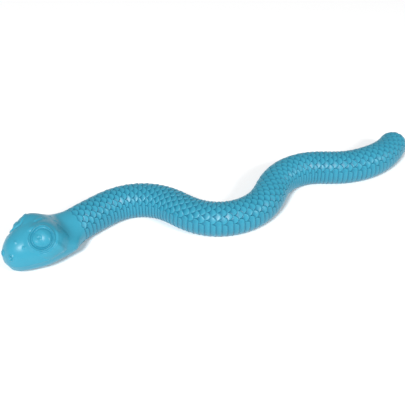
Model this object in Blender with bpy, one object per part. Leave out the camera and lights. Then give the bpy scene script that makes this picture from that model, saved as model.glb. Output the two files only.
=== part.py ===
"""Soft rubber snake, a treat toy moulded in one piece, lying in S-bends on its flat belly.

The real toy is a single flexible moulding. It is divided here into stretches, one object each, so
that it can bend where the rubber bends. Neighbouring stretches meet on a ridge line that is the
axis of a flexing joint. Both end faces fall away from the ridge by half of the joint's range, so
the stretches never run into each other.

The snake lies along X with its snout towards -X. The ground is z = 0, and the origin is under the
centre of its bounding box.
"""

import math

import bmesh
import bpy
import numpy as np
from mathutils import Matrix, Vector

# Driving dimensions, in metres and degrees.
BODY_RADIUS = 0.0160            # radius of the round back and flanks
BELLY_RATIO = 0.8               # height of the round section's centre, in radii, above the flat belly
FLAT_RATIO = math.sqrt(1.0 - BELLY_RATIO**2)    # half width of the flat belly, in radii
SNOUT_POINT = (-0.2089, -0.0103)
SNOUT_HEADING = 20.0            # direction of the centreline at the snout, from +X
BENDS = (                       # length and turn of each stretch of the centreline, from the snout
    (0.1065, 0.0),
    (0.0745, -84.0),
    (0.1075, 118.0),
    (0.0735, -82.0),
    (0.1040, 78.5),
)
BEND_EASE = 0.035               # length over which one bend eases into the next
TAIL_TAPER = 0.064              # length over which the tail narrows
TAIL_RADIUS = 0.0139            # radius of the blunt tail end

NECK_JOINT = 0.083              # arc length from the snout to the first joint
SECTION = 0.037                 # arc length from one joint to the next
BODY_SECTIONS = 8               # stretches between the neck and the tail
ROOT_SECTION = 5                # the stretch that the others are carried by, counted from the head
JOINT_RANGE = 18.0              # each joint bends this far either way
JOINT_GAP = 0.0003              # clearance at the ridge

POCKET_RADIUS = 0.0065          # treat pockets in the belly
POCKET_DEPTH = 0.014
TAIL_POCKET = 0.018             # from the last joint to the tail's pocket

# Head, from the snout: distance, half width, height of the top, height of the widest line.
HEAD_PROFILE = (
    (0.0000, 0.0030, 0.0150, 0.0120),
    (0.0015, 0.0080, 0.0210, 0.0130),
    (0.0060, 0.0135, 0.0285, 0.0134),
    (0.0175, 0.0205, 0.0345, 0.0144),
    (0.0330, 0.0262, 0.0370, 0.0154),
    (0.0465, 0.0260, 0.0335, 0.0155),
    (0.0600, 0.0225, 0.0275, 0.0145),
    (0.0720, 0.0182, 0.0278, 0.0127),
    (0.0840, 0.0162, 0.0288, 0.0127),
)
EYE_DISTANCE = 0.029            # from the snout
EYE_OFFSET = 0.0125             # from the middle of the head
EYE_HEIGHT = 0.0280
EYE_RADIUS = 0.0120

# Mesh density.
STATION_SPACING = 0.006         # between rings along a stretch
HEAD_STATION_SPACING = 0.004
FLANK_STEPS = 3                 # from the belly edge up to the widest line
BACK_STEPS = 5                  # from the widest line up to the middle of the back
POCKET_SIDES = 24
CENTRELINE_STEP = 0.0005

RUBBER_COLOUR = (0.065, 0.41, 0.61, 1.0)
RUBBER_ROUGHNESS = 0.42


def ease(t):
    """Smooth step from 0 to 1."""
    t = min(max(t, 0.0), 1.0)
    return t * t * (3.0 - 2.0 * t)


def curvature(s):
    """Turn of the centreline per metre at arc length s."""
    total = 0.0
    start = 0.0
    last = len(BENDS) - 1
    for index, (length, turn) in enumerate(BENDS):
        end = start + length
        rise = ease((s - start) / BEND_EASE + 0.5) if index > 0 else 1.0
        fall = ease((s - end) / BEND_EASE + 0.5) if index < last else 0.0
        total += math.radians(turn) / length * (rise - fall)
        start = end
    return total


def trace_centreline():
    """Arc length, x, y and heading along the centreline."""
    length = sum(bend[0] for bend in BENDS)
    count = int(round(length / CENTRELINE_STEP)) + 1
    s = np.linspace(0.0, length, count)
    step = s[1] - s[0]
    turn = np.array([curvature(value) for value in s])
    middle = 0.5 * (turn[1:] + turn[:-1])
    heading = math.radians(SNOUT_HEADING) + np.concatenate(([0.0], np.cumsum(middle * step)))
    along = 0.5 * (heading[1:] + heading[:-1])
    x = SNOUT_POINT[0] + np.concatenate(([0.0], np.cumsum(np.cos(along) * step)))
    y = SNOUT_POINT[1] + np.concatenate(([0.0], np.cumsum(np.sin(along) * step)))
    return s, x, y, heading


CENTRELINE = trace_centreline()
TOTAL_LENGTH = float(CENTRELINE[0][-1])


def centre(s):
    """Point on the ground under the centreline, its direction, and its left side."""
    stations, xs, ys, headings = CENTRELINE
    heading = float(np.interp(s, stations, headings))
    point = Vector((float(np.interp(s, stations, xs)), float(np.interp(s, stations, ys)), 0.0))
    along = Vector((math.cos(heading), math.sin(heading), 0.0))
    left = Vector((-math.sin(heading), math.cos(heading), 0.0))
    return point, along, left


def section_size(s):
    """Half width, height of the top and height of the widest line at arc length s."""
    rows = np.array(HEAD_PROFILE)
    if s < rows[-1, 0]:
        return hermite(rows, s)
    radius = BODY_RADIUS
    taper_start = TOTAL_LENGTH - TAIL_TAPER
    radius += (TAIL_RADIUS - BODY_RADIUS) * ease((s - taper_start) / TAIL_TAPER)
    beyond = max(0.0, s - (TOTAL_LENGTH - TAIL_RADIUS)) / TAIL_RADIUS
    round_off = math.sqrt(max(0.0, 1.0 - beyond * beyond))
    half_width = radius * round_off
    middle = BELLY_RATIO * radius
    return half_width, middle + half_width, middle


def hermite(rows, s):
    """Smooth curve through the rows of a profile, whose first column is the distance."""
    index = int(np.clip(np.searchsorted(rows[:, 0], s) - 1, 0, len(rows) - 2))
    slopes = np.gradient(rows[:, 1:], rows[:, 0], axis=0)
    span = rows[index + 1, 0] - rows[index, 0]
    t = (s - rows[index, 0]) / span
    near, far = rows[index, 1:], rows[index + 1, 1:]
    value = (2 * t**3 - 3 * t**2 + 1) * near + (t**3 - 2 * t**2 + t) * span * slopes[index]
    value += (3 * t**2 - 2 * t**3) * far + (t**3 - t**2) * span * slopes[index + 1]
    return tuple(float(v) for v in value)


def ring_outline(s):
    """Side and height of each point of one cross-section, from the right belly edge over the back.

    The last point is the middle of the flat belly.
    """
    half_width, top, middle = section_size(s)
    belly_angle = math.asin(-BELLY_RATIO)
    low = [belly_angle * (1.0 - i / FLANK_STEPS) for i in range(FLANK_STEPS)]
    high = [0.5 * math.pi * i / BACK_STEPS for i in range(BACK_STEPS)]
    quarter = low + high
    angles = quarter + [0.5 * math.pi] + [math.pi - a for a in reversed(quarter)]
    # The tail end rounds off above the belly too, so a thin ring keeps a thin underside.
    rounding_off = s > TOTAL_LENGTH - TAIL_RADIUS
    base = max(0.0, middle - half_width * BELLY_RATIO / FLAT_RATIO) if rounding_off else 0.0
    outline = []
    for angle in angles:
        rise = math.sin(angle)
        if rise >= 0.0:
            height = middle + (top - middle) * rise
        else:
            height = base + (middle - base) * (1.0 + rise / BELLY_RATIO)
        outline.append((-half_width * math.cos(angle), height))
    outline.append((0.0, base))
    return outline


TOP_INDEX = FLANK_STEPS + BACK_STEPS
RIGHT_INDEX = FLANK_STEPS
LEFT_INDEX = FLANK_STEPS + 2 * BACK_STEPS
BOTTOM_INDEX = 2 * (FLANK_STEPS + BACK_STEPS) + 1
HINGE_HEIGHT = BELLY_RATIO * BODY_RADIUS


def joint_stations():
    """Arc length of each joint, from the head to the tail."""
    return [NECK_JOINT + SECTION * i for i in range(BODY_SECTIONS + 2)]


def bends_sideways(index):
    """Joints alternate: the even ones bend sideways, the odd ones bend up and down."""
    return index % 2 == 0


def ring_points(s, joint=None, side=0):
    """World points of one ring; at a joint the ring falls back from the ridge on the given side."""
    point, along, left = centre(s)
    slope = math.tan(math.radians(0.5 * JOINT_RANGE))
    points = []
    for across, height in ring_outline(s):
        shift = 0.0
        if joint is not None:
            reach = abs(across) if bends_sideways(joint) else abs(height - HINGE_HEIGHT)
            shift = side * (0.5 * JOINT_GAP + reach * slope)
        points.append(point + left * across + along * shift + Vector((0.0, 0.0, height)))
    return points


def end_faces(ring, joint):
    """The one or two flat faces that close an end, as lists of ring vertices."""
    if joint is None:
        return [list(ring)]
    if bends_sideways(joint):
        first = ring[TOP_INDEX:]
        second = [ring[BOTTOM_INDEX]] + ring[:TOP_INDEX + 1]
        return [first, second]
    upper = ring[RIGHT_INDEX:LEFT_INDEX + 1]
    lower = ring[LEFT_INDEX:] + ring[:RIGHT_INDEX + 1]
    return [upper, lower]


def stretch_mesh(name, start, end, first_joint, last_joint):
    """Closed body of one stretch of the moulding, from arc length start to end."""
    spacing = HEAD_STATION_SPACING if first_joint is None else STATION_SPACING
    count = max(2, int(round((end - start) / spacing)))
    stations = [start + (end - start) * i / count for i in range(count + 1)]
    if first_joint is None:
        nose = [row[0] for row in HEAD_PROFILE[:3]]
        stations = nose + [s for s in stations if s > nose[-1] + 0.5 * spacing]
    if last_joint is None:
        cap = [math.sin(math.radians(angle)) for angle in (0, 25, 45, 60, 72, 81)]
        tip = [TOTAL_LENGTH - TAIL_RADIUS * (1.0 - c) for c in cap]
        stations = [s for s in stations if s < tip[0] - 0.4 * spacing] + tip
    mesh = bmesh.new()
    rings = []
    for index, s in enumerate(stations):
        joint, side = None, 0
        if index == 0 and first_joint is not None:
            joint, side = first_joint, 1
        if index == len(stations) - 1 and last_joint is not None:
            joint, side = last_joint, -1
        rings.append([mesh.verts.new(p) for p in ring_points(s, joint, side)])
    for near, far in zip(rings, rings[1:]):
        for i in range(len(near)):
            j = (i + 1) % len(near)
            mesh.faces.new((near[i], near[j], far[j], far[i]))
    for face in end_faces(rings[0], first_joint):
        mesh.faces.new(list(reversed(face)))
    for face in end_faces(rings[-1], last_joint):
        mesh.faces.new(face)
    bmesh.ops.recalc_face_normals(mesh, faces=mesh.faces)
    data = bpy.data.meshes.new(name)
    mesh.to_mesh(data)
    mesh.free()
    return data


def rubber(name):
    """Turquoise rubber, satin-smooth from the mould."""
    material = bpy.data.materials.new(name + "_rubber")
    material.use_nodes = True
    shader = material.node_tree.nodes["Principled BSDF"]
    shader.inputs["Base Color"].default_value = RUBBER_COLOUR
    shader.inputs["Roughness"].default_value = RUBBER_ROUGHNESS
    shader.inputs["Metallic"].default_value = 0.0
    return material


def place(name, data, origin):
    """Add an object whose own origin is the given point of its world-space mesh."""
    data.transform(Matrix.Translation(-origin))
    data.shade_smooth()
    data.set_sharp_from_angle(angle=math.radians(40.0))
    item = bpy.data.objects.new(name, data)
    item.location = origin
    bpy.context.collection.objects.link(item)
    return item


def cut_or_join(item, tool, operation):
    """Boolean with an exact solver; the tool itself isn't part of the model."""
    modifier = item.modifiers.new(tool.name, "BOOLEAN")
    modifier.operation = operation
    modifier.solver = "EXACT"
    modifier.object = tool


def tool_object(name, mesh):
    """A hidden tool body made from a bmesh."""
    data = bpy.data.meshes.new(name)
    mesh.to_mesh(data)
    mesh.free()
    tool = bpy.data.objects.new(name, data)
    tool.hide_render = True
    tool.display_type = "WIRE"
    bpy.context.collection.objects.link(tool)
    return tool


def pocket_stations():
    """Arc length of each treat pocket: one in the middle of each stretch, and one in the tail."""
    joints = joint_stations()
    middles = [0.5 * (a + b) for a, b in zip(joints, joints[1:])]
    return middles + [joints[-1] + TAIL_POCKET]


def pocket_tool():
    """Round plugs that leave a blind pocket in the belly wherever they stand."""
    mesh = bmesh.new()
    below = 0.002
    height = POCKET_DEPTH + below
    for s in pocket_stations():
        point = centre(s)[0] + Vector((0.0, 0.0, 0.5 * height - below))
        bmesh.ops.create_cone(mesh, cap_ends=True, segments=POCKET_SIDES, radius1=POCKET_RADIUS,
                              radius2=POCKET_RADIUS, depth=height,
                              matrix=Matrix.Translation(point))
    return tool_object("pocket_tool", mesh)


def eye_tool(side):
    """One domed eye, which swells out of the brow."""
    point, along, left = centre(EYE_DISTANCE)
    middle = point + left * (side * EYE_OFFSET) + Vector((0.0, 0.0, EYE_HEIGHT))
    mesh = bmesh.new()
    bmesh.ops.create_uvsphere(mesh, u_segments=20, v_segments=12, radius=EYE_RADIUS,
                              matrix=Matrix.Translation(middle))
    return tool_object("eye_tool_left" if side > 0 else "eye_tool_right", mesh)


def stretch_names():
    """Names of the stretches, from the head to the tail."""
    return ["head", "neck"] + ["body_%d" % (i + 1) for i in range(BODY_SECTIONS)] + ["tail"]


def origin_of(index):
    """A stretch's own origin: the joint on its side towards the root stretch."""
    joints = joint_stations()
    if index == ROOT_SECTION:
        point = centre(0.5 * (joints[index - 1] + joints[index]))[0]
    else:
        point = centre(joints[index] if index < ROOT_SECTION else joints[index - 1])[0]
    return point + Vector((0.0, 0.0, HINGE_HEIGHT))


def build():
    for item in list(bpy.data.objects):
        bpy.data.objects.remove(item, do_unlink=True)
    joints = joint_stations()
    names = stretch_names()
    pockets = pocket_tool()
    for index, name in enumerate(names):
        start = joints[index - 1] if index > 0 else 0.0
        end = joints[index] if index < len(joints) else TOTAL_LENGTH
        first = index - 1 if index > 0 else None
        last = index if index < len(joints) else None
        data = stretch_mesh(name, start, end, first, last)
        data.materials.append(rubber(name))
        item = place(name, data, origin_of(index))
        if index > 0:
            cut_or_join(item, pockets, "DIFFERENCE")
        else:
            cut_or_join(item, eye_tool(1), "UNION")
            cut_or_join(item, eye_tool(-1), "UNION")


build()
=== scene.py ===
"""Looks of the flexible rubber snake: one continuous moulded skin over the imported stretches."""
import math

import bpy
import numpy as np
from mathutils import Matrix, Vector


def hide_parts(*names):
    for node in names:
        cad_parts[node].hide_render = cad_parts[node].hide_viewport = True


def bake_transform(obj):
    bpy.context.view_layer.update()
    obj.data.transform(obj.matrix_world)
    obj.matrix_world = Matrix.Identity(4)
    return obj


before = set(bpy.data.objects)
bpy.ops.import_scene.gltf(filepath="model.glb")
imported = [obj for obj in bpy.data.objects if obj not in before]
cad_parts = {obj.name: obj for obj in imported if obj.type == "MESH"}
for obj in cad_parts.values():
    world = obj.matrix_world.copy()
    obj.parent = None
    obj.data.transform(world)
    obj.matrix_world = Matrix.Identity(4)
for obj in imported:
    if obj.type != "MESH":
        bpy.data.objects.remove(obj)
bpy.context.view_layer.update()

# All lengths are in metres and all angles in degrees.

# ---------------------------------------------------------------- moulding
# The centreline, the body's section, the joints and the pockets repeat those of the CAD.
BODY_RADIUS = 0.0160
BELLY_RATIO = 0.8               # height of the widest line over the belly, in radii
BELLY_ANGLE = 180.0 - math.degrees(math.acos(BELLY_RATIO))
SNOUT_POINT = (-0.2089, -0.0103)
SNOUT_HEADING = 20.0
BENDS = (                       # from the snout on: length, and how far it turns
    (0.1065, 0.0),
    (0.0745, -84.0),
    (0.1075, 118.0),
    (0.0735, -82.0),
    (0.1040, 78.5),
)
BEND_EASE = 0.035               # length over which one bend passes into the next
TRACE_STEP = 0.0005
TAIL_TAPER = 0.064
TAIL_RADIUS = 0.0139
NECK_JOINT = 0.083              # from the snout to the first joint
SECTION = 0.037                 # from one joint to the next
BODY_SECTIONS = 8
POCKET_RADIUS = 0.0065
POCKET_DEPTH = 0.014
POCKET_DOME = 0.002             # how much shallower a pocket is at its edge
TAIL_POCKET = 0.018             # from the last joint to the tail's pocket

# Head, close to the CAD's, from the snout: distance, half width, top, widest line, underside.
HEAD_ROWS = np.array((
    (0.0000, 0.0000, 0.0130, 0.0130, 0.0130),
    (0.0015, 0.0078, 0.0210, 0.0130, 0.0062),
    (0.0060, 0.0135, 0.0285, 0.0134, 0.0030),
    (0.0175, 0.0205, 0.0348, 0.0144, 0.0007),
    (0.0330, 0.0262, 0.0370, 0.0154, 0.0000),
    (0.0465, 0.0262, 0.0345, 0.0155, 0.0000),
    (0.0600, 0.0225, 0.0252, 0.0140, 0.0000),
    (0.0720, 0.0175, 0.0268, 0.0130, 0.0000),
    (0.0840, 0.0162, 0.0288, 0.0127, 0.0000),
))

# ---------------------------------------------------------------- scales
ROW = 0.004173                  # one row of scales along the body
SCALES_START = 0.0682           # where the rows are counted from, on the neck
SCALES_EDGE = 0.0022            # from there to the first free edge
SCALES_TAIL = 0.004             # they fade out over the last stretch of the tail
SCALES_HEM = 6.0                # and over this angle above the belly
SCALE_ANGLE = 27.0              # width of a scale round the body
SCALE_TIP = 0.92                # length of a scale's round free edge, in rows
SCALE_HEIGHT = 0.00125          # how far a scale's free edge stands up
SCALE_LEVEL = 0.6               # the height that lies on the plain form, in scale heights
SCALE_FALL = 0.68               # how far a scale falls one row behind its edge, in scale heights
SCALE_FALL_END = 1.35           # how many rows behind its edge it goes on falling
SCALE_FALL_POWER = 1.5
SCALE_CROWN = 0.20              # how far it falls away to its sides, in scale heights
EDGE_DROP = 0.30                # how far a free edge is rounded off, in scale heights
EDGE_ROUND = 0.36               # and over what length, in rows
PLATE_HEIGHT = 0.80             # height of the side plates' edges, in scale heights
PLATE_FALL = 0.465              # how far a plate falls away per row, in scale heights
PLATE_CORNER = 7.0              # height of a side plate's rounded top
GROOVE_DEPTH = 0.0003
GROOVE_WIDTH = 0.0005

# Painted shade: how light the skin is painted, from 0 in a groove to 1 on an edge, so that the
# grooves and the low parts of the scales are painted darker where shade falls.
PLAIN_SHADE_LEVEL = 0.75               # where there are no scales
GROOVE_PAINTED_SHADE = 0.9               # how much a groove takes away

# ---------------------------------------------------------------- features of the head
# Places are in the head's own frame: distance from the snout, distance from the middle, height.
# That frame is turned and tilted about its pivot, as the photograph's two eyes are.
HEAD_PIVOT = (0.030, 0.0, 0.015)
HEAD_TURN = 5.1
HEAD_TILT = 9.8
HEAD_FADE = (0.062, 0.010)      # where the features start to fade out, and over what length

# Eye: a flat that stands a little out of the head, and on it a rim, a lower lid and the ball.
EYE_POINT = (0.0300, 0.0176, 0.0296)
EYE_NORMAL = (-0.54, 0.54, 0.64)
EYE_RISE = 0.0022               # what the flat may rise by before it is held back
EYE_HELD_BACK = 0.40            # share of any further rise, and of EYE_RISE when it sinks
EYE_RING = 0.0103               # radius of the rim round the eye
EYE_CORNER = (56.0, 30.0, 0.0010)   # the rim bulges backwards and up: angle, spread, rise
EYE_RIM = (0.0018, 0.0008)      # height and width
EYE_MARGIN = 0.0010             # width of the flat outside the rim
EYE_LID = 0.0030                # width of the lower lid below the rim
EYE_LID_RIDGE = (0.0011, 0.0010)    # height and width
EYE_LID_TOP = (-0.001, 0.008)   # where the lid comes in downwards, and over what length
EYE_LID_FRONT = (-0.013, 0.006)     # where it comes in backwards, and over what length
EYE_BEHIND = 0.0060             # width of the step down behind the rim
EYE_BEFORE = 0.0045             # width of the hollow in front of it
EYE_FRONT = (0.001, 0.009)      # where the one passes into the other, and over what length
EYEBALL = 0.0087
EYEBALL_HEIGHT = 0.0030
EYEBALL_POWER = 0.75            # below 1 the ball is fuller at its edge
EYEBALL_GROOVE = (0.0005, 0.0006)   # depth and width
PUPIL = (-0.0018, -0.0016)      # backwards and downwards from the middle of the eye
PUPIL_RIM = (0.0004, 0.0019, 0.0007)    # height, radius and width
PUPIL_PIT = (0.0005, 0.0009)    # depth and radius

# Nostril: place and direction.
NOSTRIL = ((0.0027, 0.0057, 0.0203), (-0.80, 0.35, 0.49))
NOSTRIL_RIM = (0.0009, 0.0022, 0.0007)  # height, radius and width
NOSTRIL_PIT = (0.0010, 0.0012)  # depth and radius

# Nubs: place, radius and height.
NUBS = (
    ((0.0113, 0.0045, 0.0310), 0.0011, 0.0009),
    ((0.0137, 0.0125, 0.0274), 0.0011, 0.0009),
    ((0.0540, 0.0040, 0.0292), 0.0018, 0.0006),
    ((0.0545, 0.0235, 0.0080), 0.0055, 0.0020),     # corner of the jaw
)
# Ridges: start, end, width and height.
RIDGES = (
    ((0.0370, 0.0, 0.0365), (0.0425, 0.0, 0.0352), 0.0012, 0.0013),             # brow
    ((0.0385, 0.0270, 0.0225), (0.0410, 0.0280, 0.0155), 0.0026, 0.0013),       # cheek
)

# Mouth: a groove that climbs towards the cheek, with the lower jaw set back below it.
LIPS_HEIGHT = 0.0095
LIPS_CLIMB = 0.0025
LIPS_CLIMBING = (0.020, 0.020)  # where they start to climb, and over what length
LIPS_FADE = (0.040, 0.008)      # where they start to fade out, and over what length
LIPS_GROOVE = (0.0006, 0.0008)  # depth and width
JAW_BACK = (0.0008, 0.0015)     # how far the jaw is set back, and over what height

# ---------------------------------------------------------------- mesh density
RINGS_PER_ROW = 10
SNOUT_LENGTH = 0.012            # the snout's rings lie closer together over this length
SNOUT_RINGS = 34
SNOUT_START = 0.02              # their first angle, in radians; a fan closes the gap
TAIL_RINGS = 44
TAIL_STOP = 0.997               # share of the quarter turn that they reach, for the same reason
BACK_COLUMNS = 300              # round the back and flanks
BELLY_COLUMNS = 34              # across the flat belly
BELLY_SPACING = 0.00045         # about the distance between points of the belly
HEAD_END = 0.073                # every feature of the head lies ahead of here


def ease(t):
    """Smooth step from 0 to 1."""
    t = np.clip(t, 0.0, 1.0)
    return t * t * (3.0 - 2.0 * t)


def eased(place, span):
    """Smooth step from 0 to 1 that starts at a place and takes a length, both given by span."""
    start, length = span
    return ease((place - start) / length)


def bump(distance, radius):
    """Round hill of unit height."""
    return np.exp(-(distance / radius) ** 2)


def unit(vector):
    """The vector's direction, with a length of 1."""
    return np.array(vector) / np.linalg.norm(vector)


# ---------------------------------------------------------------- centreline
def curvature(s):
    """Turn of the centreline per metre at arc length s."""
    total = np.zeros_like(s)
    start = 0.0
    last = len(BENDS) - 1
    for index, (length, turn) in enumerate(BENDS):
        end = start + length
        rise = ease((s - start) / BEND_EASE + 0.5) if index > 0 else 1.0
        fall = ease((s - end) / BEND_EASE + 0.5) if index < last else 0.0
        total = total + math.radians(turn) / length * (rise - fall)
        start = end
    return total


def summed(rate, step):
    """Running sum of a rate over equal steps, from 0."""
    middle = 0.5 * (rate[1:] + rate[:-1])
    return np.concatenate(([0.0], np.cumsum(middle * step)))


def trace_centreline():
    """Arc length, x, y and heading along the centreline."""
    length = sum(bend[0] for bend in BENDS)
    s = np.linspace(0.0, length, int(round(length / TRACE_STEP)) + 1)
    step = s[1] - s[0]
    heading = math.radians(SNOUT_HEADING) + summed(curvature(s), step)
    along = 0.5 * (heading[1:] + heading[:-1])
    x = SNOUT_POINT[0] + np.concatenate(([0.0], np.cumsum(np.cos(along) * step)))
    y = SNOUT_POINT[1] + np.concatenate(([0.0], np.cumsum(np.sin(along) * step)))
    return s, x, y, heading


CENTRELINE = trace_centreline()
TOTAL_LENGTH = float(CENTRELINE[0][-1])


def centre(s):
    """x, y and heading of the centreline at arc length s."""
    stations, xs, ys, headings = CENTRELINE
    return np.interp(s, stations, xs), np.interp(s, stations, ys), np.interp(s, stations, headings)


def to_world(s, across, height):
    """Points at a distance along the snake, a distance to its left and a height."""
    x, y, heading = centre(s)
    place = (x - np.sin(heading) * across, y + np.cos(heading) * across, height)
    return np.stack(np.broadcast_arrays(*place), -1)


def joint_stations():
    """Arc length of each joint, from the head to the tail."""
    return [NECK_JOINT + SECTION * i for i in range(BODY_SECTIONS + 2)]


def seam_stations():
    """Where one piece of skin meets the next: the middle of each stretch."""
    joints = joint_stations()
    return [0.5 * (a + b) for a, b in zip(joints, joints[1:])]


def pocket_stations():
    """Arc length of each treat pocket."""
    return seam_stations() + [joint_stations()[-1] + TAIL_POCKET]


# ---------------------------------------------------------------- plain form
def hermite(rows, s):
    """Smooth curve through the rows of a profile, in the square root of the distance."""
    knots = np.sqrt(rows[:, 0])
    where = np.sqrt(np.clip(s, 0.0, rows[-1, 0]))
    index = np.clip(np.searchsorted(knots, where) - 1, 0, len(knots) - 2)
    slopes = np.gradient(rows[:, 1:], knots, axis=0)
    slopes[-1] = 0.0
    span = (knots[index + 1] - knots[index])[:, None]
    t = ((where - knots[index]) / span[:, 0])[:, None]
    value = (2 * t**3 - 3 * t**2 + 1) * rows[index, 1:]
    value = value + (t**3 - 2 * t**2 + t) * span * slopes[index]
    value += (3 * t**2 - 2 * t**3) * rows[index + 1, 1:] + (t**3 - t**2) * span * slopes[index + 1]
    return value.T


def section_size(s):
    """Half width, top, widest line and underside of the cross-sections at arc lengths s."""
    head = hermite(HEAD_ROWS, s)
    taper = ease((s - TOTAL_LENGTH + TAIL_TAPER) / TAIL_TAPER)
    radius = BODY_RADIUS + (TAIL_RADIUS - BODY_RADIUS) * taper
    beyond = np.clip((s - TOTAL_LENGTH + TAIL_RADIUS) / TAIL_RADIUS, 0.0, 1.0)
    half_width = radius * np.sqrt(1.0 - beyond**2)
    middle = BELLY_RATIO * radius
    body = np.stack((half_width, middle + half_width, middle, middle * beyond**8))
    return np.where(s < HEAD_ROWS[-1, 0], head, body)


def plain_form(s, angle, belly):
    """Side and height of the smooth moulding, angle in degrees from the middle of the back.

    belly runs from 0 at the left edge of the belly to 1 at its right edge; it is -1 on the rest.
    """
    half_width, top, middle, base = (v[:, None] for v in section_size(s))
    sine, cosine = np.sin(np.radians(angle)), np.cos(np.radians(angle))
    across = half_width * sine
    high = middle + (top - middle) * cosine
    low = base + (middle - base) * (1.0 + cosine / BELLY_RATIO)
    height = np.where(cosine > 0.0, high, low)
    edge = half_width * math.sin(math.radians(BELLY_ANGLE))
    across = np.where(belly < 0.0, across, edge * (1.0 - 2.0 * belly))
    height = np.where(belly < 0.0, height, base)
    return across, height


def normals_of(points):
    """Unit normals of a grid of points that closes round its second index."""
    round_body = np.roll(points, -1, axis=1) - np.roll(points, 1, axis=1)
    along = np.gradient(points, axis=0)
    normal = np.cross(round_body, along)
    length = np.linalg.norm(normal, axis=2, keepdims=True)
    return normal / np.maximum(length, 1e-12)


# ---------------------------------------------------------------- scales and side plates
def round_edge(place):
    """How far a round edge draws back at a place across it, 0 in the middle to 1 at its side."""
    return 1.0 - np.sqrt(1.0 - np.clip(np.abs(place), 0.0, 1.0) ** 2)


def chain(rows, across, shift, last):
    """One of the two staggered sets of scales, with the side plates below its last scale.

    Gives the distance in rows to the free edge ahead, the place across the scale from -1 to 1,
    and how much of the surface is side plate.
    """
    index = np.clip(np.round(across / SCALE_ANGLE - shift), -1.0, last)
    place = (across / SCALE_ANGLE - shift - index) * 2.0
    on_scale = place <= 1.0
    top = (last + shift + 0.5) * SCALE_ANGLE
    corner = round_edge(1.0 - (across - top) / PLATE_CORNER)
    plate_edge = np.where(across < top + PLATE_CORNER, corner, 0.0)
    edge = SCALE_TIP * np.where(on_scale, round_edge(place), plate_edge)
    ahead = np.mod(2.0 * shift - edge - rows, 2.0)
    return ahead, np.where(on_scale, place, 0.0), ease((across - top) / PLATE_CORNER)


def scale_relief(s, angle):
    """Height of the scales and side plates, up to 1 at the free edges, and their grooves."""
    rows = (s - SCALES_START) / ROW
    across = np.abs(angle)
    # The even set has a scale on the middle of the back, the odd set one either side of it.
    even, even_place, even_plate = chain(rows, across, 0.0, 2.0)
    odd, odd_place, odd_plate = chain(rows, across, 0.5, 1.0)
    nearest = np.minimum(even, odd)
    place = np.where(even < odd, even_place, odd_place)
    plate = np.where(even < odd, even_plate, odd_plate)
    passed = 2.0 - np.maximum(even, odd)
    fall = SCALE_FALL * np.minimum(nearest, SCALE_FALL_END) ** SCALE_FALL_POWER
    scale = 1.0 - fall - SCALE_CROWN * place**2
    slat = PLATE_HEIGHT - PLATE_FALL * nearest
    near_edge = np.where(nearest < EDGE_ROUND, round_edge(1.0 - nearest / EDGE_ROUND), 0.0)
    groove = bump(passed * ROW, GROOVE_WIDTH)
    return scale + (slat - scale) * plate - EDGE_DROP * near_edge, groove


# ---------------------------------------------------------------- head
def rim(distance, radius, width):
    """Ring-shaped ridge of unit height."""
    return bump(distance - radius, width)


def rimmed_pit(distance, rim_size, pit_size):
    """Relief of a small pit with a raised rim, as the pupils and the nostrils have."""
    height, radius, width = rim_size
    depth, pit_radius = pit_size
    return height * rim(distance, radius, width) - depth * bump(distance, pit_radius)


def nub(points, middle, radius):
    """Round hill of unit height about a place."""
    return bump(np.linalg.norm(points - np.array(middle), axis=-1), radius)


def ridge(points, start, end, width):
    """Straight ridge of unit height with round ends."""
    start, end = np.array(start), np.array(end)
    along = end - start
    t = np.clip((points - start) @ along / (along @ along), 0.0, 1.0)
    return bump(np.linalg.norm(points - start - t[..., None] * along, axis=-1), width)


def turned(vectors, turn, tilt):
    """Vectors along, across and up, in the head's frame: turned, then tilted about its length."""
    along, across, up = np.moveaxis(vectors, -1, 0)
    forward = math.cos(turn) * along + math.sin(turn) * across
    side = math.cos(turn) * across - math.sin(turn) * along
    tilted = math.cos(tilt) * side - math.sin(tilt) * up
    raised = math.cos(tilt) * up + math.sin(tilt) * side
    return np.stack((forward, tilted, raised), -1)


def turned_back(vectors, turn, tilt):
    """The opposite of turned."""
    forward, tilted, raised = np.moveaxis(vectors, -1, 0)
    side = math.cos(tilt) * tilted + math.sin(tilt) * raised
    up = math.cos(tilt) * raised - math.sin(tilt) * tilted
    along = math.cos(turn) * forward - math.sin(turn) * side
    across = math.cos(turn) * side + math.sin(turn) * forward
    return np.stack((along, across, up), -1)


def tangent_place(points, middle, normal):
    """Places on a flat through a point of the head: backwards, downwards and distance.

    The distance is out of reach for points far behind the flat, on the other side of the head.
    """
    out_of_reach, far_behind = 1.0, -0.016
    back = unit(np.array((1.0, 0.0, 0.0)) - normal * normal[0])
    down = np.cross(normal, back)
    offset = points - middle
    u, v = offset @ back, offset @ down
    return u, v, np.where(offset @ normal > far_behind, np.hypot(u, v), out_of_reach)


def limited(rise):
    """Holds the eye's flat back where it would stand far out of the head or be sunk deep."""
    held = EYE_RISE + EYE_HELD_BACK * (rise - EYE_RISE)
    return np.where(rise > EYE_RISE, held, np.maximum(rise, -EYE_HELD_BACK * EYE_RISE))


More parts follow.
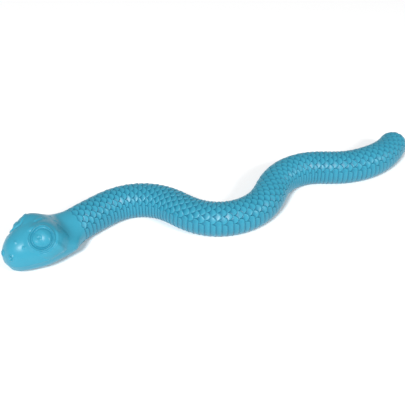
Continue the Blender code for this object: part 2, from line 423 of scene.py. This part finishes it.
def eye_relief(points, normal):
    """How far the flat, rim, lid and ball stand from the smooth head, along the flat's normal."""
    u, v, distance = tangent_place(points, np.array(EYE_POINT), normal)
    to_flat = limited((np.array(EYE_POINT) - points) @ normal)
    angle = np.degrees(np.arctan2(-v, u))
    corner, spread, rise = EYE_CORNER
    ring = EYE_RING + rise * bump(angle - corner, spread)
    lower = eased(v, EYE_LID_TOP) * eased(u, EYE_LID_FRONT)
    slope = EYE_BEHIND + (EYE_BEFORE - EYE_BEHIND) * eased(-u, EYE_FRONT)
    edge = ring + EYE_MARGIN + EYE_LID * lower
    relief = to_flat * (1.0 - ease((distance - edge) / slope))
    height, width = EYE_RIM
    relief += height * rim(distance, ring, width)
    height, width = EYE_LID_RIDGE
    relief += height * rim(distance, ring + EYE_LID, width) * lower
    ball = np.clip(1.0 - (distance / EYEBALL) ** 2, 0.0, 1.0)
    relief += EYEBALL_HEIGHT * ball ** EYEBALL_POWER
    depth, width = EYEBALL_GROOVE
    relief -= depth * rim(distance, EYEBALL, width)
    return relief + rimmed_pit(np.hypot(u - PUPIL[0], v - PUPIL[1]), PUPIL_RIM, PUPIL_PIT)


def mouth_relief(points):
    """A shallow groove between the lips, with the lower jaw set back a little."""
    s, height = points[..., 0], points[..., 2]
    lips = LIPS_HEIGHT + LIPS_CLIMB * eased(s, LIPS_CLIMBING)
    depth, width = LIPS_GROOVE
    set_back, over = JAW_BACK
    groove = depth * bump(height - lips, width)
    jaw = set_back * ease((lips - height) / over)
    return -(groove + jaw) * (1.0 - eased(s, LIPS_FADE))


def shaped_head(points, normals):
    """The smooth head's points, along, across and up, moved to the eyes, lips and nostrils."""
    pivot = np.array(HEAD_PIVOT)
    turn, tilt = math.radians(HEAD_TURN), math.radians(HEAD_TILT)
    own = turned(points - pivot, turn, tilt) + pivot
    side = np.sign(own[..., 1])
    own[..., 1] *= side
    place, facing = NOSTRIL
    nostril = tangent_place(own, np.array(place), np.array(facing))[2]
    relief = mouth_relief(own) + rimmed_pit(nostril, NOSTRIL_RIM, NOSTRIL_PIT)
    for middle, radius, height in NUBS:
        relief += height * nub(own, middle, radius)
    for start, end, width, height in RIDGES:
        relief += height * ridge(own, start, end, width)
    eye_normal = unit(EYE_NORMAL)
    eye = eye_relief(own, eye_normal)[..., None] * eye_normal
    eye[..., 1] *= side
    shift = turned_back(eye, turn, tilt) + normals * relief[..., None]
    return points + shift * (1.0 - eased(points[..., :1], HEAD_FADE))


# ---------------------------------------------------------------- skin
def ring_stations():
    """Arc length of every ring, closer together where the snout and the tail round off."""
    step = ROW / RINGS_PER_ROW
    snout = np.linspace(SNOUT_START, math.pi / 2.0, SNOUT_RINGS)
    tip = np.linspace(0.0, TAIL_STOP, TAIL_RINGS) * math.pi / 2.0
    front = SNOUT_LENGTH * (1.0 - np.cos(snout))
    straight = np.arange(front[-1] + step, TOTAL_LENGTH - TAIL_RADIUS, step)
    end = TOTAL_LENGTH - TAIL_RADIUS * (1.0 - np.sin(tip))
    return np.concatenate((front, straight, end))


def columns():
    """Angle from the middle of the back, and place across the belly, of every column."""
    back = np.linspace(BELLY_ANGLE, -BELLY_ANGLE, BACK_COLUMNS)
    belly = np.linspace(1.0, 0.0, BELLY_COLUMNS + 2)[1:-1]
    angle = np.concatenate((back, np.full(len(belly), 180.0)))
    return angle, np.concatenate((np.full(len(back), -1.0), belly))


def cut_pockets(points, on_belly):
    """Press the treat pockets into the flat belly, with a round mouth."""
    for station in pocket_stations():
        x, y, _ = centre(station)
        offset = points[..., :2] - np.array((x, y))
        distance = np.hypot(offset[..., 0], offset[..., 1])
        near = on_belly & (distance < POCKET_RADIUS + BELLY_SPACING)
        mouth = near & (distance > POCKET_RADIUS - BELLY_SPACING)
        ratio = POCKET_RADIUS / np.maximum(distance, 1e-9)
        snapped = np.array((x, y)) + offset * ratio[..., None]
        points[..., :2] = np.where(mouth[..., None], snapped, points[..., :2])
        roof = POCKET_DEPTH - POCKET_DOME * (distance / POCKET_RADIUS) ** 4
        points[..., 2] = np.where(near & ~mouth, roof, points[..., 2])
    return points


def skin_grid():
    """Points of the whole skin, its painted shade from 0 in a groove to 1, and the stations of its
    rings.
    """
    s = ring_stations()
    angle, belly = columns()
    along, angle, belly = np.broadcast_arrays(s[:, None], angle[None, :], belly[None, :])
    on_belly = belly >= 0.0
    across, height = plain_form(s, angle, belly)
    straight = np.stack((along, across, height), -1)
    head = s < HEAD_END
    straight[head] = shaped_head(straight, normals_of(straight))[head]
    points = to_world(straight[..., 0], straight[..., 1], straight[..., 2])
    normals = normals_of(to_world(along, across, height))

    step, groove = scale_relief(along, angle)
    start = ease((along - SCALES_START - SCALES_EDGE) / SCALES_EDGE)
    tail_end = 1.0 - ease((along - TOTAL_LENGTH + SCALES_TAIL) / SCALES_TAIL)
    hem = 1.0 - ease((np.abs(angle) - BELLY_ANGLE + SCALES_HEM) / SCALES_HEM)
    strength = start * tail_end * hem
    relief = (SCALE_HEIGHT * (step - SCALE_LEVEL) - GROOVE_DEPTH * groove) * strength
    points = points + normals * np.where(on_belly, 0.0, relief)[..., None]
    points[..., 2] = np.maximum(points[..., 2], 0.0)
    # Painted shade: darker in the grooves and on the low parts of the scales, plain where there are
    # no scales and on the belly.
    painted_shade = np.clip(step - GROOVE_PAINTED_SHADE * groove, 0.0, 1.0) * strength + PLAIN_SHADE_LEVEL * (1.0 - strength)
    return cut_pockets(points, on_belly), np.where(on_belly, PLAIN_SHADE_LEVEL, painted_shade), s


def added(name, data):
    """A new object in the scene."""
    item = bpy.data.objects.new(name, data)
    bpy.context.collection.objects.link(item)
    return item


def grid_faces(rings, around, caps):
    """Quads between rings, and fans to the poles."""
    ring, column = np.meshgrid(np.arange(rings - 1), np.arange(around), indexing="ij")
    a = ring * around + column
    b = ring * around + (column + 1) % around
    faces = np.stack((a, b, b + around, a + around), -1).reshape(-1, 4).tolist()
    first, last = caps
    pole = rings * around
    if first:
        faces += [(pole, (i + 1) % around, i) for i in range(around)]
        pole += 1
    if last:
        start = (rings - 1) * around
        faces += [(pole, start + i, start + (i + 1) % around) for i in range(around)]
    return faces


def with_poles(values, caps):
    """A grid's values as one list, with the mean of the first or last ring for each pole."""
    rows = [values.reshape(-1, values.shape[-1])]
    for closed, ring in zip(caps, (values[0], values[-1])):
        if closed:
            rows.append(ring.mean(axis=0, keepdims=True))
    return np.concatenate(rows)


def skin_piece(name, points, painted_shade, normals, caps, material):
    """Mesh object for some of the rings; caps say whether the snout or the tail end closes it."""
    rings, around = points.shape[:2]
    mesh = bpy.data.meshes.new(name)
    mesh.from_pydata(with_poles(points, caps).tolist(), [], grid_faces(rings, around, caps))
    # The relief attribute carries the painted shade of the grooves and low scale parts to the
    # material.
    relief = mesh.attributes.new("relief", "FLOAT", "POINT")
    values = with_poles(painted_shade[..., None], caps).reshape(-1)
    relief.data.foreach_set("value", values.astype(np.float32))
    mesh.shade_smooth()
    mesh.materials.append(material)
    directions = with_poles(normals, caps)
    lengths = np.linalg.norm(directions, axis=1, keepdims=True)
    directions = directions / np.maximum(lengths, 1e-9)
    mesh.normals_split_custom_set_from_vertices(directions.tolist())
    return added(name, mesh)


def stretch_names():
    """The CAD's stretches, from the head to the tail."""
    return ["head", "neck"] + ["body_%d" % (i + 1) for i in range(BODY_SECTIONS)] + ["tail"]


def build_skin(material):
    """The skin, split at the middle of each stretch so that each piece spans one joint."""
    points, painted_shade, s = skin_grid()
    normals = normals_of(points)
    names = stretch_names()
    seams = [int(np.argmin(np.abs(s - station))) for station in seam_stations()]
    cuts = [0] + seams + [len(s) - 1]
    joints = joint_stations()
    for index, joint in enumerate(joints):
        part = slice(cuts[index], cuts[index + 1] + 1)
        caps = (index == 0, index == len(joints) - 1)
        ahead, behind = names[index], names[index + 1]
        piece = skin_piece("skin_" + ahead + "_to_" + behind,
                           points[part], painted_shade[part], normals[part], caps, material)
        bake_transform(piece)
        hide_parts(ahead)
        if index == len(joints) - 1:
            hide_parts(behind)


# ---------------------------------------------------------------- material
# Colour by painted shade, darker in the grooves and on the low parts of the scales up to the plain
# skin, and the slow change of tone over it.
PAINTED_SHADE_STOPS = ((0.05, (0.014, 0.165, 0.27, 1.0)), (PLAIN_SHADE_LEVEL, (0.036, 0.285, 0.405, 1.0)))
TONE_STOPS = ((0.3, (0.90, 0.93, 0.94, 1.0)), (0.7, (1.0, 1.0, 1.0, 1.0)))
CLOUD = (55.0, 3.0)             # scale and detail
GRAIN = (1400.0, 2.0)
MIX_FACTOR, MIX_A, MIX_B, MIX_RESULT = 0, 6, 7, 2   # colour sockets of a Mix node
ROUGHNESS = (0.28, 0.38)
GRAIN_STRENGTH = 0.10
GRAIN_HEIGHT = 0.0002
RUBBER_IOR = 1.45
RUBBER_SPECULAR = 0.34


def add_noise(nodes, scale, detail):
    """Noise texture of a scale and a level of detail."""
    texture = nodes.new("ShaderNodeTexNoise")
    texture.inputs["Scale"].default_value = scale
    texture.inputs["Detail"].default_value = detail
    return texture


def add_ramp(nodes, stops):
    """Colour ramp with two stops, each a position and a colour."""
    ramp = nodes.new("ShaderNodeValToRGB")
    for element, (position, colour) in zip(ramp.color_ramp.elements, stops):
        element.position = position
        element.color = colour
    return ramp


def new_material(name):
    """A new material, and its shader."""
    material = bpy.data.materials.new(name)
    material.use_nodes = True
    return material, material.node_tree.nodes["Principled BSDF"]


def rubber():
    """Turquoise rubber with a satin gloss, painted shade in the grooves, and a faint grain."""
    material, shader = new_material("turquoise_rubber")
    nodes, links = material.node_tree.nodes, material.node_tree.links
    place = nodes.new("ShaderNodeTexCoord")
    cloud = add_noise(nodes, *CLOUD)
    grain = add_noise(nodes, *GRAIN)
    for texture in (cloud, grain):
        links.new(place.outputs["Object"], texture.inputs["Vector"])

    # Painted shade: the relief attribute makes the colour darker in the grooves and on the low
    # parts of the scales.
    relief = nodes.new("ShaderNodeAttribute")
    relief.attribute_name = "relief"
    depth = add_ramp(nodes, PAINTED_SHADE_STOPS)
    links.new(relief.outputs["Fac"], depth.inputs["Fac"])
    tone = add_ramp(nodes, TONE_STOPS)
    links.new(cloud.outputs["Fac"], tone.inputs["Fac"])
    vary = nodes.new("ShaderNodeMix")
    vary.data_type = "RGBA"
    vary.blend_type = "MULTIPLY"
    vary.inputs[MIX_FACTOR].default_value = 1.0
    links.new(depth.outputs["Color"], vary.inputs[MIX_A])
    links.new(tone.outputs["Color"], vary.inputs[MIX_B])
    links.new(vary.outputs[MIX_RESULT], shader.inputs["Base Color"])

    gloss = nodes.new("ShaderNodeMapRange")
    gloss.inputs["To Min"].default_value = ROUGHNESS[0]
    gloss.inputs["To Max"].default_value = ROUGHNESS[1]
    links.new(cloud.outputs["Fac"], gloss.inputs["Value"])
    links.new(gloss.outputs["Result"], shader.inputs["Roughness"])

    texture = nodes.new("ShaderNodeBump")
    texture.inputs["Strength"].default_value = GRAIN_STRENGTH
    texture.inputs["Distance"].default_value = GRAIN_HEIGHT
    links.new(grain.outputs["Fac"], texture.inputs["Height"])
    links.new(texture.outputs["Normal"], shader.inputs["Normal"])
    shader.inputs["IOR"].default_value = RUBBER_IOR
    shader.inputs["Specular IOR Level"].default_value = RUBBER_SPECULAR
    return material


# ---------------------------------------------------------------- studio
CAMERA_TARGET = np.array((-0.0161, 0.0155, 0.0))
CAMERA_AZIMUTH = -21.0
CAMERA_ELEVATION = 41.1
CAMERA_DISTANCE = 0.7165
CAMERA_LENS = 65.5              # in millimetres, as the sensor's width is
CAMERA_SENSOR = 36.0
LIGHTS_TARGET = np.array((0.0, 0.0, 0.01))
LIGHTS_DISTANCE = 3.0
LIGHTS = (                      # name, azimuth, elevation, size and power
    ("key", -46.0, 46.0, 0.80, 84.0),
    ("side", 32.0, 36.0, 0.65, 35.0),
)
WORLD_COLOUR = (1.0, 1.0, 1.0, 1.0)
WORLD_STRENGTH = 0.37
FLOOR_COLOUR = (0.95, 0.95, 0.95, 1.0)
FLOOR_ROUGHNESS = 0.9
FLOOR_HALF = 3.0


def direction(azimuth, elevation):
    """Unit vector towards something seen at this azimuth and elevation; azimuth 0 is at -Y."""
    a, e = math.radians(azimuth), math.radians(elevation)
    return np.array((math.sin(a) * math.cos(e), -math.cos(a) * math.cos(e), math.sin(e)))


def aim(item, place, target):
    """Put an object somewhere and point its -Z axis at a target."""
    item.location = place
    item.rotation_euler = Vector(target - place).to_track_quat("-Z", "Y").to_euler()


def add_camera():
    """Camera at the photograph's viewing angle."""
    data = bpy.data.cameras.new("camera")
    data.lens = CAMERA_LENS
    data.sensor_width = CAMERA_SENSOR
    camera = added("camera", data)
    towards = direction(CAMERA_AZIMUTH, CAMERA_ELEVATION)
    aim(camera, CAMERA_TARGET + CAMERA_DISTANCE * towards, CAMERA_TARGET)
    bpy.context.scene.camera = camera


def add_lights():
    """Two soft round lights, both aimed at the middle of the snake."""
    for name, azimuth, elevation, size, power in LIGHTS:
        data = bpy.data.lights.new(name, "AREA")
        data.shape = "DISK"
        data.size = size
        data.energy = power
        towards = direction(azimuth, elevation)
        aim(added(name, data), LIGHTS_TARGET + LIGHTS_DISTANCE * towards, LIGHTS_TARGET)


def add_floor():
    """Plain pale floor at the height that the snake lies on."""
    material, shader = new_material("pale_floor")
    shader.inputs["Base Color"].default_value = FLOOR_COLOUR
    shader.inputs["Roughness"].default_value = FLOOR_ROUGHNESS
    mesh = bpy.data.meshes.new("floor")
    signs = ((-1, -1), (1, -1), (1, 1), (-1, 1))
    corners = [(FLOOR_HALF * a, FLOOR_HALF * b, 0.0) for a, b in signs]
    mesh.from_pydata(corners, [], [(0, 1, 2, 3)])
    mesh.materials.append(material)
    added("floor", mesh)


def add_world():
    """Even pale light from all round."""
    world = bpy.data.worlds.new("studio")
    world.use_nodes = True
    background = world.node_tree.nodes["Background"]
    background.inputs["Color"].default_value = WORLD_COLOUR
    background.inputs["Strength"].default_value = WORLD_STRENGTH
    bpy.context.scene.world = world
    bpy.context.scene.view_settings.view_transform = "Standard"


build_skin(rubber())
add_camera()
add_floor()
add_lights()
add_world()
